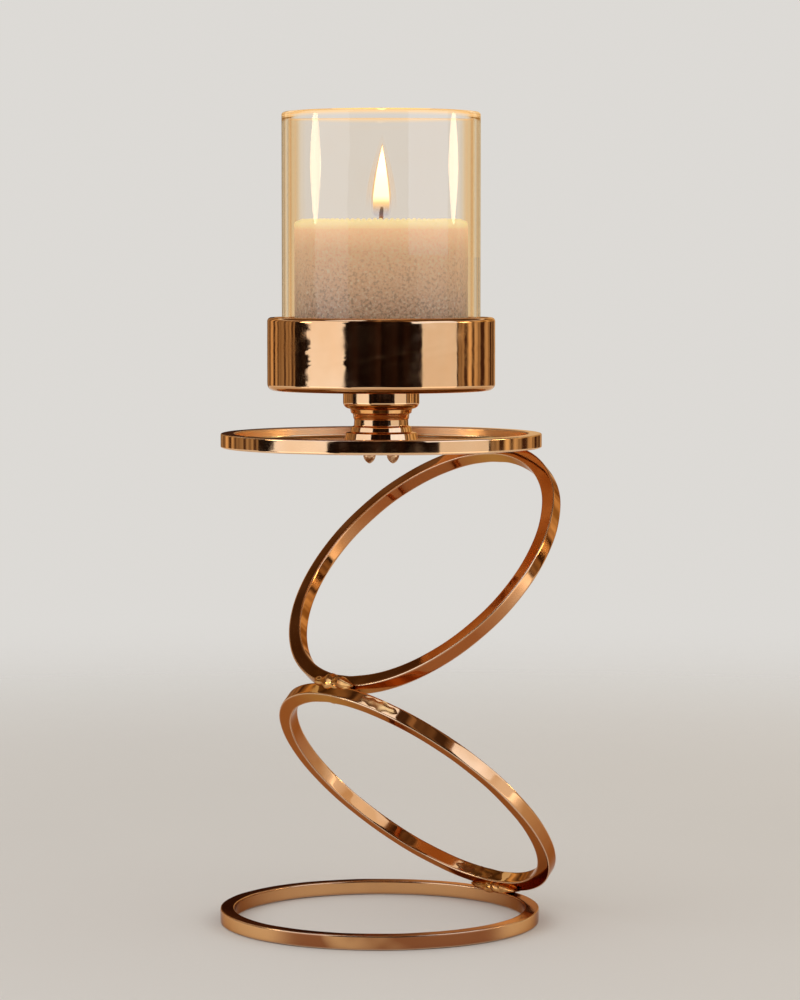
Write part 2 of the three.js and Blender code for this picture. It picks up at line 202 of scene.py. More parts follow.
class Wire:
    """An output of a shader graph. Arithmetic on it adds Math nodes, also with a number in front."""

    def __init__(self, tree, socket):
        self.tree, self.socket = tree, socket

    def node(self, kind, settings, values, output=0):
        """Any node: its settings are set first (stops are a ramp's), then its inputs by name or number."""
        made = self.tree.nodes.new(kind)
        for key, value in settings.items():
            if key == "stops":
                made.color_ramp.elements.remove(made.color_ramp.elements[1])
                made.color_ramp.elements[0].position = value[0][0]
                made.color_ramp.elements[0].color = (*value[0][1], 1)
                for at, colour in value[1:]:
                    made.color_ramp.elements.new(at).color = (*colour, 1)
            else:
                setattr(made, key, value)
        for key, value in values.items():
            if isinstance(value, Wire):
                self.tree.links.new(value.socket, made.inputs[key])
            else:
                fill(made.inputs[key], value)
        return Wire(self.tree, made.outputs[output])

    def math(self, operation, first, second):
        return self.node("ShaderNodeMath", {"operation": operation}, {0: first, 1: second})

    def __add__(self, other):
        return self.math("ADD", self, other)

    def __sub__(self, other):
        return self.math("SUBTRACT", self, other)

    def __rsub__(self, other):
        return self.math("SUBTRACT", other, self)

    def __mul__(self, other):
        return self.math("MULTIPLY", self, other)

    __radd__ = __add__
    __rmul__ = __mul__

    def into(self, node, name):
        """Links the wire to a node's input."""
        self.tree.links.new(self.socket, node.inputs[name])


# %% Tools for finishes


def new_finish(name, fixed):
    """A material with its Principled shader's fixed inputs set, and a wire of Object coordinates."""
    material = bpy.data.materials.new(name)
    material.use_nodes = True
    tree = material.node_tree
    shader = tree.nodes["Principled BSDF"]
    for socket, value in fixed.items():
        fill(shader.inputs[socket], value)
    return material, shader, Wire(tree, tree.nodes.new("ShaderNodeTexCoord").outputs["Object"])


def unlit(name, strength):
    """A finish that reflects nothing and gives a light of its own."""
    return new_finish(name, {"Base Color": (0, 0, 0), "Roughness": 1.0, "Specular IOR Level": 0.0,
                             "Emission Strength": strength})


def noise(place, scale, detail=2.0, rough=0.5):
    """Cloudy noise between 0 and 1; scale counts its blobs per metre."""
    inputs = {"Vector": place, "Scale": scale, "Detail": detail, "Roughness": rough}
    return place.node("ShaderNodeTexNoise", {}, inputs)


def spread(value, low, high, to_low=0.0, to_high=1.0):
    """Stretches a value from one range to another, held at its ends."""
    inputs = {"Value": value, "From Min": low, "From Max": high, "To Min": to_low, "To Max": to_high}
    return value.node("ShaderNodeMapRange", {"clamp": True}, inputs)


def marked(place, name):
    """The number that skin kept on the points under a name, and 0 on a piece without it."""
    return place.node("ShaderNodeAttribute", {"attribute_name": name}, {}, 2)


def coordinate(place, axis):
    """One coordinate of a place: 0 for x, 1 for y, 2 for z."""
    return place.node("ShaderNodeSeparateXYZ", {}, {"Vector": place}, axis)


def ramp(value, stops):
    """Colour that runs from stop to stop, each a value and the colour there."""
    return value.node("ShaderNodeValToRGB", {"stops": stops}, {"Fac": value})


def blend_colour(share, first, second):
    """One colour at share 0 and another at share 1."""
    return share.node("ShaderNodeMix", {"data_type": "RGBA"}, {0: share, 6: first, 7: second}, 2)


def bump(height, strength, depth):
    """Normal of a surface that a height in 0 to 1 raises by depth, in metres."""
    return height.node("ShaderNodeBump", {}, {"Strength": strength, "Distance": depth, "Height": height})


print("graph tools ready")

# %% [markdown]
# ## Rose gold
# The bars, cup and neck are plated and polished. A perfect mirror looks false: real plate has slow
# changes of tone, smears that dull it here and there, and a faint orange-peel skin from buffing. The
# cup and top ring are buffed bright and the bars are redder and unevenly burnished. The edges of a bar
# get a painted highlight, a paler tone along them. Undersides get painted shade, a deeper tone where the
# surface faces down. The buff doesn't reach the inside of the top ring, which stays satin. Braze has
# gilded the leaning bars near their joints. The plate is yellower, and the small parts under it are
# blotched with a dark tone. One recipe makes them all with other numbers. A metal's own edge colour keeps
# it warm where it is seen at a flat angle.

# %% Rose gold finishes
# The third tone of each set is painted shade, for surfaces that face down.
POLISH_TONES = ((0.95, 0.61, 0.35), (0.90, 0.52, 0.26), (0.74, 0.38, 0.16))
BAR_TONES = ((0.93, 0.53, 0.27), (0.68, 0.31, 0.11), (0.45, 0.14, 0.04))
BASE_TONES = ((0.92, 0.52, 0.23), (0.36, 0.13, 0.05), (0.36, 0.13, 0.05))
PLATE_TONES = ((1.0, 0.86, 0.60), (0.98, 0.80, 0.50), (0.60, 0.28, 0.10))
DARK_BLOTCH_TONES = ((0.95, 0.62, 0.36), (0.26, 0.09, 0.03), (0.26, 0.09, 0.03))
# Painted highlight: a paler tone along the edges of a bar.
PAINTED_EDGE_HIGHLIGHT = (1.0, 0.74, 0.52)
PAINTED_EDGE_HIGHLIGHT_SHARE = 0.85
EDGE_DULL = 0.12
GILT_TONE = (0.66, 0.34, 0.09)
GILT_SHARE = 0.75
SATIN_DULL = 0.27
# Painted shade: how far a surface faces down where the third tone is full.
PAINTED_SHADE_FULL_AT = -0.35
BRIGHT_GRAZE = (0.95, 0.78, 0.62)
DEEP_GRAZE = (0.78, 0.58, 0.46)


def rose_gold(name, tones, patches, smooth, dull, graze, painted_shade_share=1.0):
    """Polished plate: tone and roughness drift with cloudy noise, and fine noise stipples the skin.

    patches gives how many blobs of tone there are per metre, and the noise at which the first tone
    ends and the second begins. Where a piece is marked with a painted reflection the first tone stays,
    as a painted reflection. The third tone is painted shade, which comes in where the surface faces
    down, as far as the painted shade share says. Braze has gilded the bar where it is marked so, and a
    paler tone runs along marked edges as a painted highlight. Marked edges and satin walls are rougher."""
    material, shader, place = new_finish(name, {"Metallic": 1.0, "Specular Tint": graze})
    count, first, second = patches
    edge = marked(place, "edge")
    # Painted reflection: the first tone is kept where the piece is marked for it.
    drift = spread(noise(place, count, 3), first, second) * (1 - marked(place, "rubbed"))
    # Painted shade: the third tone comes in where the surface faces down.
    under = spread(marked(place, "upward"), 0.0, PAINTED_SHADE_FULL_AT, 0.0, painted_shade_share)
    smear = spread(noise(place, 120, 4, 0.6), 0.42, 0.72)
    faces = blend_colour(under, blend_colour(drift, tones[0], tones[1]), tones[2])
    faces = blend_colour(marked(place, "gilt") * GILT_SHARE, faces, GILT_TONE)
    # Painted highlight: the paler tone along marked edges.
    blend_colour(edge * PAINTED_EDGE_HIGHLIGHT_SHARE, faces, PAINTED_EDGE_HIGHLIGHT).into(shader, "Base Color")
    rough = smear * (dull - smooth) + smooth + edge * EDGE_DULL + marked(place, "satin") * SATIN_DULL
    rough.into(shader, "Roughness")
    bump(noise(place, 1500, 2), 0.04, 0.00002).into(shader, "Normal")
    return material


polished = rose_gold("polished_rose_gold", POLISH_TONES, (38, 0.35, 0.68), 0.05, 0.13, BRIGHT_GRAZE)
faced = rose_gold("faced_rose_gold", PLATE_TONES, (30, 0.35, 0.68), 0.15, 0.23, BRIGHT_GRAZE)
burnished = rose_gold("burnished_rose_gold", BAR_TONES, (30, 0.42, 0.60), 0.05, 0.13, DEEP_GRAZE)
base_ring_gold = rose_gold("base_ring_rose_gold", BASE_TONES, (21, 0.30, 0.44), 0.09, 0.18, DEEP_GRAZE)
# The washers and nuts mix a bright tone with dark blotches.
dark_blotched = rose_gold("dark_blotched_rose_gold", DARK_BLOTCH_TONES, (300, 0.44, 0.54), 0.08, 0.16, DEEP_GRAZE, 0.4)
print("finishes:", polished.name, faced.name, burnished.name, base_ring_gold.name, dark_blotched.name)

# %% [markdown]
# ## Braze and steel
# Braze is poured by hand with a torch, so it stays lumpy, yellower than the plate and stained brown by
# the heat. The screws and the wick's foot are plated steel, with the fine turning marks of small parts.

# %% Braze and steel finishes


def braze_finish():
    """Lumpy brass: heat stains follow a blotchy noise, which also sets the roughness. The skin is finer."""
    material, shader, place = new_finish("torch_braze", {"Metallic": 1.0, "Specular Tint": DEEP_GRAZE})
    stain = spread(noise(place, 150, 2), 0.38, 0.62)
    blend_colour(stain, (0.86, 0.48, 0.18), (0.38, 0.14, 0.04)).into(shader, "Base Color")
    (stain * 0.14 + 0.12).into(shader, "Roughness")
    bump(noise(place, 420, 1), 0.06, 0.0002).into(shader, "Normal")
    return material


def steel_finish():
    """Zinc plate: rings of turning marks from a band texture, over a cloudy grey."""
    material, shader, place = new_finish("zinc_plated_steel", {"Metallic": 1.0})
    rings = place.node("ShaderNodeTexWave", {"wave_type": "RINGS", "rings_direction": "Z"},
                       {"Vector": place, "Scale": 420.0, "Distortion": 1.5})
    cloud = noise(place, 300, 3)
    blend_colour(cloud, (0.62, 0.60, 0.57), (0.76, 0.74, 0.70)).into(shader, "Base Color")
    (rings * 0.12 + 0.24).into(shader, "Roughness")
    return material


braze = braze_finish()
steel = steel_finish()
for hidden in ("neck_stud_left", "neck_stud_right", "cup_screw", "wick_sustainer"):
    node_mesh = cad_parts[hidden].data
    node_mesh.materials.clear()
    node_mesh.materials.append(steel)
print("finishes:", braze.name, steel.name)

# %% [markdown]
# ## The four rings
# Each ring is a square bar rolled into a hoop and closed. A bevelled torus would do, but its faces
# would be dead flat. The section here is a superellipse, a square whose sides swell slightly and whose
# corners are soft, carried round a circle. Slow waves let the bar wander by a few hundredths of a
# millimetre, as a hand-rolled bar does, and that is what breaks up its reflections. The top ring was faced
# on a lathe, so it wanders less. The corners of the section are marked for the finish, and so are
# stretches of the level rings that keep their bright tone as painted reflections: two in front, towards
# the soft boxes, and the far side.

# %% Waves and bells


def phases(seed, count):
    """Seeded angles anywhere in a full turn."""
    return np.random.default_rng(seed).uniform(0, 2 * np.pi, count)


def waves(turn, seed, counts, size):
    """Sum of sines round a full turn, with seeded phases, scaled so that it stays within its size."""
    return size / len(counts) * np.sin(np.multiply.outer(turn, counts) + phases(seed, len(counts))).sum(-1)


def bell(away, width, power=2):
    """exp(-(x / w)^p), which is 1 at x = 0 and fades within a few widths w."""
    return np.exp(-(away / width) ** power)


print("a bell at half its width:", bell(0.5, 1.0).round(3))

# %% Bar rings
RING_RADIUS = 61.9
BAR_HALF = 2.85
BAR_POWER = 12.0
BAR_STEPS = 72
RING_STEPS = 360
MELT_REACH = 0.22
GILT_REACH = 0.3
MELT_DEPTH = 0.13
MELT_WAVES = ((14, 1), (23, -2), (37, 2))
SIDE_WAVES = [3, 7, 11, 17]
RISE_WAVES = [4, 6, 13, 19]
EDGE_WIDTH = 0.075
# Painted reflections on the level rings: bearing, width and share of each bright stretch.
PAINTED_REFLECTIONS = ((-52, 17, 1.0), (61, 15, 1.0), (180, 62, 0.75))
LEAN_TURN = np.radians(40.0)
LOWER_TILT = np.radians(43.4)
UPPER_TILT = LOWER_TILT - np.pi / 2


def leaning(points, tilt, centre):
    """Tilts about the level line across the lean, turns to the lean's heading, and moves into place."""
    x, y, z = np.moveaxis(points, -1, 0)
    out = x * np.cos(tilt) + z * np.sin(tilt)
    up = z * np.cos(tilt) - x * np.sin(tilt)
    east = out * np.cos(LEAN_TURN) - y * np.sin(LEAN_TURN)
    north = out * np.sin(LEAN_TURN) + y * np.cos(LEAN_TURN)
    return np.stack([east, north, up], -1) + centre


def bar_ring(tilt, centre, seed, wander, melted, satin):
    """Superellipse |x|^n + |y|^n = h^n carried round a circle: (R + x)(cos t, sin t), at height y.

    The section's angle is s + 0.17 sin 4s, which crowds points into the corners. Near the two joints,
    at t = 0 and t = pi, ripples that fade as exp(-(sin t / reach)^2) show where the torch softened it.
    The corner mark is exp(-(d / width)^2) for an angle d away from the nearest corner. The painted
    reflection mark, on level rings only, is a sum of bells exp(-(b / width)^4) about bearings from the
    camera's side, where the bright tone stays as a painted reflection. The satin mark is on the inner
    wall, where -cos of the section's angle is over 0.6. The gilt mark fades from the joints as the
    ripples do, with a longer reach."""
    s = full_turn(BAR_STEPS)[:, None]
    t = full_turn(RING_STEPS)
    angle = s + 0.17 * np.sin(4 * s)
    square = (np.abs(np.cos(angle)) ** BAR_POWER + np.abs(np.sin(angle)) ** BAR_POWER) ** (-1 / BAR_POWER)
    phase = phases(seed + 2, len(MELT_WAVES))
    lumps = [np.sin(k * t + m * angle + p) for (k, m), p in zip(MELT_WAVES, phase)]
    softened = melted * bell(np.sin(t), MELT_REACH)
    melt = MELT_DEPTH * softened * (sum(lumps) / len(lumps) - 0.5)
    x = BAR_HALF * square * np.cos(angle) + waves(t, seed, SIDE_WAVES, wander) + melt * np.cos(angle)
    y = BAR_HALF * square * np.sin(angle) + waves(t, seed + 1, RISE_WAVES, wander) + melt * np.sin(angle)
    points = leaning(about(ORIGIN, RING_RADIUS + x, y, t), tilt, centre)
    bearing = np.degrees(t + LEAN_TURN) + 90
    # Painted reflection: bright stretches about bearings from the camera's side, on level rings only.
    bells = [share * bell((bearing - at + 180) % 360 - 180, wide, 4) for at, wide, share in PAINTED_REFLECTIONS]
    marks = {
        "edge": bell(angle % (np.pi / 2) - np.pi / 4, EDGE_WIDTH),
        "rubbed": sum(bells) * (tilt == 0),
        "satin": satin * (np.cos(angle) < -0.6),
        "gilt": melted * bell(np.sin(t), GILT_REACH),
    }
    return points, {mark: values + 0 * angle * t for mark, values in marks.items()}


# %% Four rings
RING_LOOKS = {
    "base_ring": (0.0, 11, 0.07, 0.0, 0.0, base_ring_gold),
    "lower_ring": (LOWER_TILT, 21, 0.075, 1.0, 0.0, burnished),
    "upper_ring": (UPPER_TILT, 31, 0.075, 1.0, 0.0, burnished),
    "top_ring": (0.0, 41, 0.02, 0.0, 1.0, polished),
}
for node, (tilt, seed, wander, melted, satin, finish) in RING_LOOKS.items():
    grid, marks = bar_ring(tilt, middle_of(node), seed, wander, melted, satin)
    ring = skin(node + "_bar", grid, marks=marks)
    dress(ring, "stand", [node], finish)

# %% [markdown]
# ## Braze in the corners
# Where two rings meet, braze was run in from both sides and froze in drops. A single smooth blob would
# look like clay, and a heap of balls like berries. Each drop here is an ellipse carried along the seam,
# with a waist between its puddles and lumps all over it, most of all where the leaning rings meet. It has
# pointed ends and sinks into both bars, as real braze wets them. Two thin runs show where braze crept away
# from its joint along the lower ring's wall.

# %% Braze beads
BEAD_ROUND = 40
BEAD_ALONG = 80


def frozen(power, puddles, lumpy, seed):
    """Swell of a frozen drop at s along it and angle a round it: (1 - s^2)^power, times a ripple for
    its puddles and sines of both s and a for its lumps, both as strong as lumpy says."""
    s = np.sin(np.linspace(-np.pi / 2, np.pi / 2, BEAD_ALONG))[:, None]
    a = full_turn(BEAD_ROUND)
    phase = phases(seed, 3)
    ripple = 1 + 0.10 * lumpy * np.cos(np.pi * puddles * s + phase[0])
    lumps = 1 + 0.05 * lumpy * np.sin(2 * a + 4 * s + phase[1])
    lumps = lumps + 0.025 * lumpy * np.sin(3 * a - 7 * s + phase[2])
    return s, a, np.clip(1 - s**2, 0, 1) ** power * ripple * lumps


def braze_drop(node, lumpy, size, slump, seed):
    """Ellipse carried along the seam: half width and half height times the drop's swell.

    A slump moves the drop out of the corner, along the seam and up."""
    along, out, rise = size
    s, a, swell = frozen(power=0.6, puddles=along / 4, lumpy=lumpy, seed=seed)
    points = np.stack([out * swell * np.cos(a), along * s + 0 * a, rise * swell * np.sin(a)], -1)
    return leaning(points + slump, 0.0, middle_of(node))


BEADS = {
    "base_bead_inner": [(1.2, (14.0, 2.4, 2.2), (-0.2, 1.0, 0.1)), (1.0, (4.5, 2.2, 2.0), (-0.7, -2.0, 0.3))],
    "base_bead_outer": [(1.0, (12.0, 2.2, 2.1), (0.0, 0.0, 0.0))],
    "middle_bead_front": [(1.3, (12.0, 3.2, 3.2), (-0.1, -0.6, -0.3)),
                          (0.8, (8.0, 2.1, 2.1), (-0.6, -3.4, -1.2))],
    "middle_bead_rear": [(1.6, (9.0, 3.1, 3.0), (0.2, 0.0, 0.4))],
    "top_bead_inner": [(1.0, (11.0, 1.7, 1.6), (0.0, 0.0, 0.0))],
    "top_bead_outer": [(1.0, (11.0, 1.7, 1.6), (0.0, 0.0, 0.0))],
}
for node, drops in BEADS.items():
    for number, (lumpy, size, slump) in enumerate(drops):
        grid = braze_drop(node, lumpy, size, slump, 50 + number)
        dress(skin(f"{node}_drop_{number}", grid, (False, True)), "stand", [node], braze)


# %% Braze that crept along the lower ring
RUN_HIGH = 0.15
RUN_SUNK = 0.012
RUN_ROOT = 0.5
RUN_WIDE = 2.1


def braze_run(turn, reach, side, seed):
    """Thin run on the lower ring's outer (side 1) or inner (side -1) wall, about a stretch of its turn.

    It is as wide as the drop's swell and stands up by its height times the cube of cos a. It follows
    the bar's own waves, so it leaves the wall almost level at its edge."""
    s, a, swell = frozen(power=0.5, puddles=3.4, lumpy=1.8, seed=seed)
    t = np.radians(turn + reach * s)
    stands = RUN_HIGH * np.maximum(np.cos(a), 0) ** 3 + RUN_ROOT * np.minimum(np.cos(a), 0)
    _, bar_seed, wander, *_ = RING_LOOKS["lower_ring"]
    wall = RING_RADIUS + waves(t, bar_seed, SIDE_WAVES, wander)
    radius = wall + side * (BAR_HALF - RUN_SUNK + swell * stands)
    points = about(ORIGIN, radius, RUN_WIDE * swell * np.sin(a), t)
    return leaning(points, LOWER_TILT, middle_of("lower_ring"))


for name, turn, reach, side, seed in (("middle_run", 205, 8, 1, 57), ("base_run", 11, 10, -1, 58)):
    run = skin(name + "_puddle", braze_run(turn, reach, side, seed), (False, True))
    dress(run, "stand", [], braze)

# %% [markdown]
# ## Profiles for turned pieces
# The neck, cup, plate, glass and nuts are all turned or spun, so each is one profile taken round an
# axis. Hand-placed points make corners either hard or lumpy. Here a profile is a plain polygon, whose
# corners are then cut back and joined by true arcs, and points are added along its straight sides so
# that the shading stays flat there.

# %% Profile tools


def unit(vectors):
    """The same vectors with a length of 1."""
    return vectors / np.linalg.norm(vectors, axis=1, keepdims=True)


def rounded(corners, radii, steps):
    """Polygon with round corners: a corner of radius r is cut back by r / tan(half its angle) on both
    sides, and an arc about the point r / sin(half) along the bisector joins the cuts."""
    corner = np.array(corners, float)
    radius = np.array(radii, float)[:, None]
    before = unit(np.roll(corner, 1, 0) - corner)
    after = unit(np.roll(corner, -1, 0) - corner)
    half = np.arccos(np.clip((before * after).sum(1, keepdims=True), -1, 1)) / 2
    centre = corner + unit(before + after) * radius / np.sin(half)
    start = corner + before * radius / np.tan(half) - centre
    end = corner + after * radius / np.tan(half) - centre
    sweep = (np.pi - 2 * half)[:, None]
    share = np.linspace(0, 1, steps + 1)[None, :, None]
    weights = [np.sin(part * sweep) / np.sin(sweep) for part in (1 - share, share)]
    arcs = weights[0] * start[:, None] + weights[1] * end[:, None]
    return (centre[:, None] + arcs).reshape(-1, 2)


def fine(path, step):
    """The same path with points added, so that no two neighbours are further apart than a step."""
    reach = np.concatenate([[0], np.cumsum(np.linalg.norm(np.diff(path, axis=0), axis=1))])
    moved = np.concatenate([[True], np.diff(reach) > 1e-6])
    path, reach = path[moved], reach[moved]
    at = np.union1d(reach, np.linspace(0, reach[-1], int(reach[-1] / step) + 2))
    at = at[np.concatenate([[True], np.diff(at) > step / 20])]
    at[-1] = reach[-1]
    return np.stack([np.interp(at, reach, column) for column in path.T], 1)


def fine_loop(path, step):
    """The same for a closed path, without its first point again at the end."""
    return fine(np.concatenate([path, path[:1]]), step)[:-1]


def arc(middle, radius, start, end, steps):
    """Points of an arc about its middle, between two angles in degrees."""
    a = np.radians(np.linspace(start, end, steps))
    return np.stack([middle[0] + radius * np.cos(a), middle[1] + radius * np.sin(a)], 1)


def turned(profile, segments, centre=HEAD_AXIS):
    """Solid of revolution: a profile point (r, z) goes round as r(cos t, sin t) at height z."""
    r, z = profile.T[..., None]
    return about(centre, r, z, full_turn(segments))


TURN_STEPS = 144
SMALL_STEPS = 48
print("steps round a turned piece:", TURN_STEPS, "and round a small one:", SMALL_STEPS)

# %% [markdown]
# ## The plate and its fillet
# A thin disc closes the top ring and carries the neck. It was faced on a lathe, so very fine rings
# still catch the light, and a fillet of braze, buffed with the plate, holds it in the ring. Two washers
# below it spread the pull of the neck's nuts.

# %% Plate
PLATE_EDGE = 0.25
PLATE_RIPPLE = 0.003
RIPPLE_RATE = 2.6
RIPPLE_FROM = 17.0

plate_low, plate_high = levels("top_plate")
plate_radius = half_width("top_plate") - 2 * INSET
plate_corners = [(0, plate_low), (plate_radius, plate_low), (plate_radius, plate_high), (0, plate_high)]
plate_path = fine(rounded(plate_corners, [0, PLATE_EDGE, PLATE_EDGE, 0], 10), 0.6)
lathe_marks = PLATE_RIPPLE * (np.cos(plate_path[:, 0] * RIPPLE_RATE) - 1) * (plate_path[:, 0] > RIPPLE_FROM)
plate_path[:, 1] += np.where(plate_path[:, 1] > plate_high - PLATE_EDGE, lathe_marks, 0)
plate = skin("top_plate_disc", turned(plate_path, TURN_STEPS), (False, True))
dress(plate, "stand", ["top_plate"], faced)

# %% Fillet round the plate
FILLET_SIZE = 1.15
FILLET_RIPPLE = 0.01
FILLET_ROUND = 24
FILLET_STEPS = 240


def plate_fillet():
    """Hollow corner fillet: two straight legs and a quarter arc, whose size ripples round the ring."""
    t = full_turn(FILLET_STEPS)
    size = FILLET_SIZE - FILLET_RIPPLE + waves(t, 61, [3, 5, 8], FILLET_RIPPLE)
    bend = np.radians(np.linspace(270, 360, FILLET_ROUND))
    inward = np.concatenate([[0.0], 1 - np.cos(bend)])[:, None]
    upward = np.concatenate([[0.0], 1 + np.sin(bend)])[:, None]
    radius = plate_radius + INSET - inward * size
    return about(HEAD_AXIS, radius, plate_high + upward * size, t)


dress(skin("plate_fillet", plate_fillet()), "stand", ["plate_braze"], faced)

# %% Washers
WASHER_BORE = 1.6

for side in ("left", "right"):
    node = "neck_washer_" + side
    low, high = levels(node)
    reach = half_width(node)
    corners = [(WASHER_BORE, low), (reach, low), (reach, high), (WASHER_BORE, high)]
    path = fine_loop(rounded(corners, [0.1, 0.2, 0.1, 0.1], 4), 0.25)
    disc = skin(node + "_disc", turned(path, SMALL_STEPS, middle_of(node)))
    dress(disc, "stand", [node], dark_blotched)

# %% [markdown]
# ## The neck
# The neck was turned from solid bar: a flared foot, a waist of narrow bands, and a fat collar under the
# cup. A smooth curve would lose the light that each band catches, because only an upright wall shows the
# lamps. So the profile is a flight of steps, in which each band stands almost upright and every corner is
# rounded, and the collar has a wide round under its wall.

# %% Neck
NECK_FOOT = (16.5, 1.3)
NECK_BANDS = ((1.5, 14.9, 4.5, 14.3), (4.9, 12.5, 7.0, 12.0), (7.4, 11.0, 9.9, 10.9),
              (10.3, 11.2, 12.1, 11.4), (12.5, 12.2, 14.2, 12.6))
BAND_ROUND = 0.34
COLLAR_RADIUS = 15.4
COLLAR_ROUND = 2.6


def neck_profile(bottom, top):
    """Rounded polygon through foot, bands and collar. A band goes from one height and radius to another,
    and the next begins a short step away."""
    foot_radius, foot_height = NECK_FOOT
    bands = np.array(NECK_BANDS).reshape(-1, 2)[:, ::-1] + (0, bottom)
    under = bands[-1, 1] + 0.3
    corners = [(0, bottom), (foot_radius, bottom), (foot_radius, bottom + foot_height), *bands,
               (COLLAR_RADIUS, under), (COLLAR_RADIUS, top), (0, top)]
    radii = [0, 0.2, 0.4, *[BAND_ROUND] * len(bands), COLLAR_ROUND, 0.4, 0]
    return fine(rounded(corners, radii, 8), 0.4)


neck_grid = turned(neck_profile(*levels("neck")), TURN_STEPS)
dress(skin("turned_neck", neck_grid, (False, True), crease=50), "stand", ["neck"], polished)

# %% [markdown]
# ## Dome nuts
# Two small cap nuts hold the neck's studs under the plate. A cylinder would show no flats. A nut here is a
# hexagon and a pointed dome below it. The hexagon's radius is the smaller of two, one from its flats and one
# from the cone that chamfered it.

# %% Dome nuts
NUT_FLATS = 5.5
NUT_HEX_HEIGHT = 2.6
NUT_DOME_RADIUS = 2.5
NUT_CHAMFER = 1.7
NUT_STEPS = 96


def dome_nut(node):
    """Radius at angle t and depth d below the washer: the hexagon's flat distance over the cosine of
    the angle to the nearest flat, cut by a chamfer cone, then (1 - s^2)^0.7 for the dome."""
    low, high = levels(node)
    t = full_turn(NUT_STEPS)
    flat = NUT_FLATS / 2 / np.cos((t + np.pi / 6) % (np.pi / 3) - np.pi / 6)
    depth = np.concatenate([np.linspace(0, NUT_HEX_HEIGHT, 20),
                            np.linspace(NUT_HEX_HEIGHT, high - low, 40)])[:, None]
    cone = NUT_FLATS / 2 + NUT_CHAMFER * np.minimum(depth + 0.12, NUT_HEX_HEIGHT - depth + 0.1)
    hexagon = np.minimum(flat, np.maximum(cone, 0))
    share = np.clip((depth - NUT_HEX_HEIGHT) / (high - low - NUT_HEX_HEIGHT), 0, 1)
    radius = np.where(share > 0, NUT_DOME_RADIUS * (1 - share**2) ** 0.7, hexagon)
    radius[0] = 0
    return about(middle_of(node), radius, high - depth, t)


for side in ("left", "right"):
    node = "dome_nut_" + side
    nut = skin(node + "_cap", dome_nut(node), (False, True), crease=28)
    dress(nut, "stand", [node], dark_blotched)

# %% [markdown]
# ## The cup
# The cup was spun from sheet over a former, which leaves a straight wall, a soft bottom corner and a rim
# rolled over for stiffness. One closed profile gives inside, outside, rim and the countersunk hole in
# the floor. The wall is out of round by a few hundredths of a millimetre, which bends the long upright
# reflections just enough to look spun.

# %% Cup
CUP_WALL = 1.8
CUP_RIM = 1.65
CUP_FLOOR = 2.2
CUP_CORNER = 2.7
CUP_HOLE = 2.2
CUP_SINK = 4.2
CUP_STEPS = 224
DENTS_ROUND = 0.03
DENTS_UP = 0.02
DENTS_SWAY = 0.7


def cup_profile(low, high, radius):
    """Underside, soft corner, wall, rolled rim (three quarters of a circle), inner wall and floor."""
    inner = radius - CUP_WALL
    body = rounded([(CUP_HOLE, low), (radius, low), (radius, high - CUP_RIM)], [0.05, CUP_CORNER, 0.0], 14)
    rim = arc((radius - CUP_RIM, high - CUP_RIM), CUP_RIM, 0, 268, 34)
    inside = rounded([(inner, high - 2 * CUP_RIM - 0.15), (inner, low + CUP_FLOOR),
                      (CUP_SINK, low + CUP_FLOOR), (CUP_HOLE, low + 0.3)], [0.05, 1.5, 0.1, 0.05], 8)
    return fine_loop(np.concatenate([body, rim, inside]), 0.5)


cup_low, cup_high = levels("cup")
cup_radius = half_width("cup") - INSET
cup_grid = turned(cup_profile(cup_low, cup_high, cup_radius), CUP_STEPS)
cup_rise = (cup_grid[:, :1, 2] - cup_low) / (cup_high - cup_low) * 2 * np.pi
dents = waves(full_turn(CUP_STEPS) + DENTS_SWAY * np.sin(cup_rise), 71, [2, 5, 9, 13], DENTS_ROUND)
dents = dents + waves(cup_rise, 72, [1, 2, 3], DENTS_UP) - DENTS_ROUND - DENTS_UP
cup_grid[..., :2] = HEAD_AXIS + (cup_grid[..., :2] - HEAD_AXIS) * (1 + dents / cup_radius)[..., None]
dress(skin("spun_cup", cup_grid, crease=60), "stand", ["cup"], polished)

# %% [markdown]
# ## The glass chimney
# The chimney is a drawn glass tube with fire-polished rims. It needs real thickness, because the two
# bright lines along each side come from light bending in the wall. Melting the rims rounded them and drew
# them up into a slightly thicker bead. The glass is clear where it is seen straight on. Towards its sides,
# where the eye looks along the wall, amber bands are painted reflections of warm light, so there the tint
# follows the angle of sight. The wall also carries candlelight up to the rim, which shines golden.
# Following that light through dozens of bounces would be slow, so the rims are marked, and get a golden
# tint and a faint light of their own.

# %% Glass chimney
GLASS_WALL = 2.4
GLASS_BEAD = 0.45
GLASS_BEAD_AT = 1.4
GLASS_BEAD_REACH = 1.1
GLASS_STEPS = 224
RIM_REACH = 2.6


